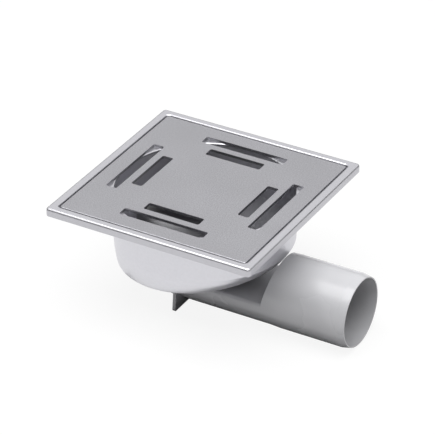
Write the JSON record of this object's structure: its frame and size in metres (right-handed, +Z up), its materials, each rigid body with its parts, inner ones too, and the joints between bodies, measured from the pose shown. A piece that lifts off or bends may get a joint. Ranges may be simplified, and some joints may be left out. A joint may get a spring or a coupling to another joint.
{
  "type": "gully trap",
  "caption": "Stainless floor gully with square slotted grate, round bowl, bell trap and a plastic side outlet.",
  "frame": {"origin": "centre of the grate's top face, which lies flush with the finished floor", "axes": "+X along the outlet pipe towards its mouth, +Z up out of the floor, +Y to the back"},
  "size_m": [0.1904, 0.15, 0.0859],
  "materials": {
    "satin_steel": "satin",
    "drawn_steel": "satin",
    "grey_plastic": "matte",
    "black_rubber": "matte"
  },
  "bodies": {
    "root": {"grate": "satin_steel", "frame": "satin_steel", "bowl": "drawn_steel", "outlet_body": "grey_plastic", "seat_gasket": "black_rubber", "clamp_gasket": "black_rubber", "clamp_ring": "grey_plastic", "standpipe": "grey_plastic", "standpipe_seal": "black_rubber", "bell": "grey_plastic"}
  },
  "joints": []
}
